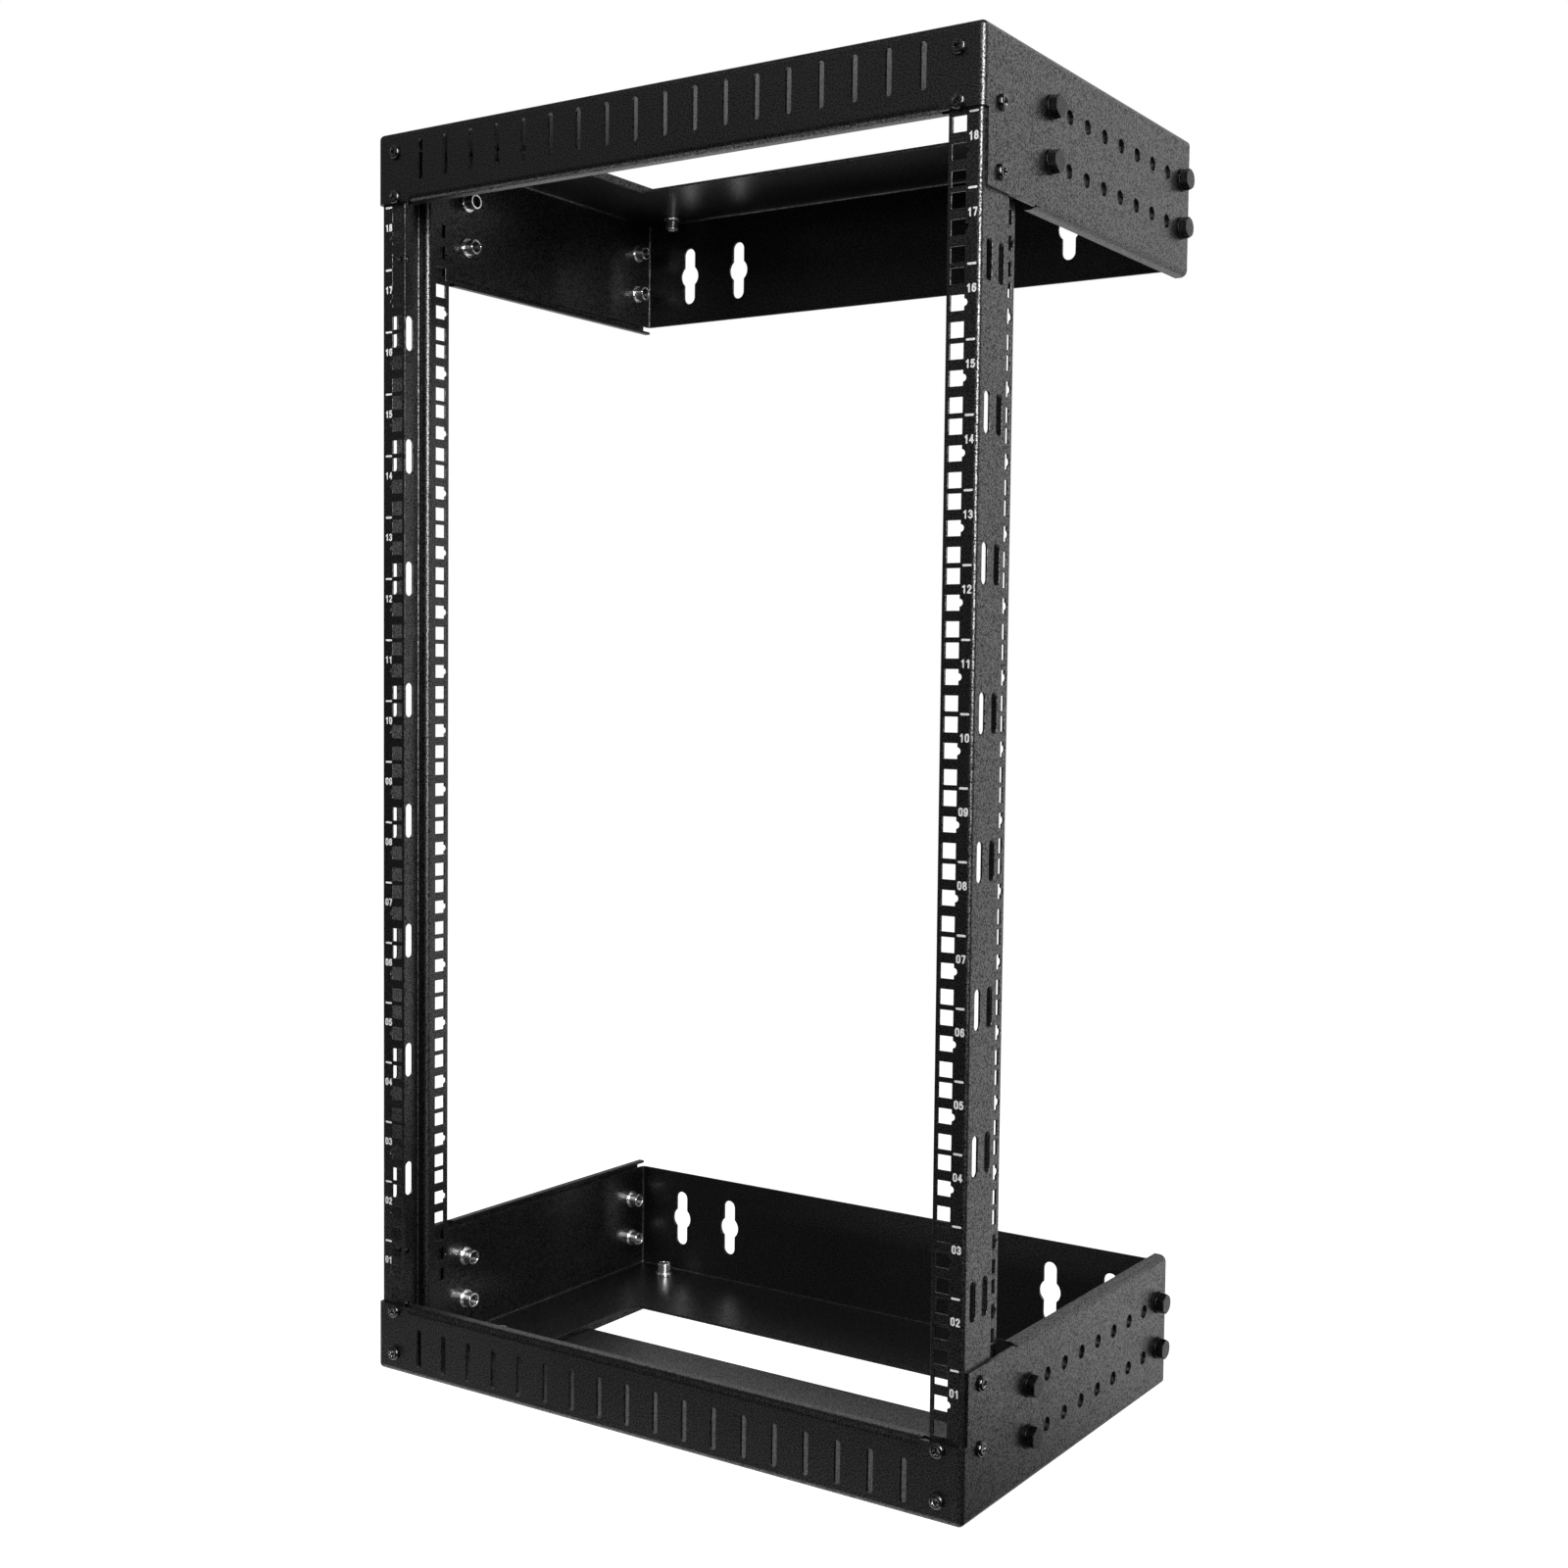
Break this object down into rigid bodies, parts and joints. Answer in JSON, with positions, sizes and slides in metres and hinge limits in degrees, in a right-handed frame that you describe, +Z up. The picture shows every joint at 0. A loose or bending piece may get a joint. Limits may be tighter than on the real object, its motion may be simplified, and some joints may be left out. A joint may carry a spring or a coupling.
{
  "type": "wall-mount open frame rack",
  "caption": "Wall-mounted open rack frame with two square-hole rails between folded top and bottom frames, adjustable in depth.",
  "frame": {"origin": "on the flat wall face of the upper wall plate, mid-width, level with the upper row of keyholes", "axes": "+X to the right as seen from the front, +Y out of the back into the wall, +Z up; the rack's front faces -Y"},
  "size_m": [0.5138, 0.3125, 0.9188],
  "materials": {
    "powder_coat": "fine textured black powder coat",
    "black_bolt": "black oxide, slightly shiny",
    "black_screw": "black oxide, slightly shiny",
    "zinc": "bright zinc plate"
  },
  "bodies": {
    "root": {"top_front_frame": "powder_coat", "bottom_front_frame": "powder_coat", "top_rear_frame": "powder_coat", "bottom_rear_frame": "powder_coat", "left_post": "powder_coat", "right_post": "powder_coat", "side_bolts_top_left": "black_bolt", "side_washers_top_left": "black_bolt", "side_nuts_top_left": "zinc", "plate_bolts_top_left": "black_bolt", "plate_washers_top_left": "black_bolt", "plate_nuts_top_left": "zinc", "front_screws_top_left": "black_screw", "post_screws_top_left": "black_screw", "side_bolts_top_right": "black_bolt", "side_washers_top_right": "black_bolt", "side_nuts_top_right": "zinc", "plate_bolts_top_right": "black_bolt", "plate_washers_top_right": "black_bolt", "plate_nuts_top_right": "zinc", "front_screws_top_right": "black_screw", "post_screws_top_right": "black_screw", "side_bolts_bottom_left": "black_bolt", "side_washers_bottom_left": "black_bolt", "side_nuts_bottom_left": "zinc", "plate_bolts_bottom_left": "black_bolt", "plate_washers_bottom_left": "black_bolt", "plate_nuts_bottom_left": "zinc", "front_screws_bottom_left": "black_screw", "post_screws_bottom_left": "black_screw", "side_bolts_bottom_right": "black_bolt", "side_washers_bottom_right": "black_bolt", "side_nuts_bottom_right": "zinc", "plate_bolts_bottom_right": "black_bolt", "plate_washers_bottom_right": "black_bolt", "plate_nuts_bottom_right": "zinc", "front_screws_bottom_right": "black_screw", "post_screws_bottom_right": "black_screw"}
  },
  "joints": []
}
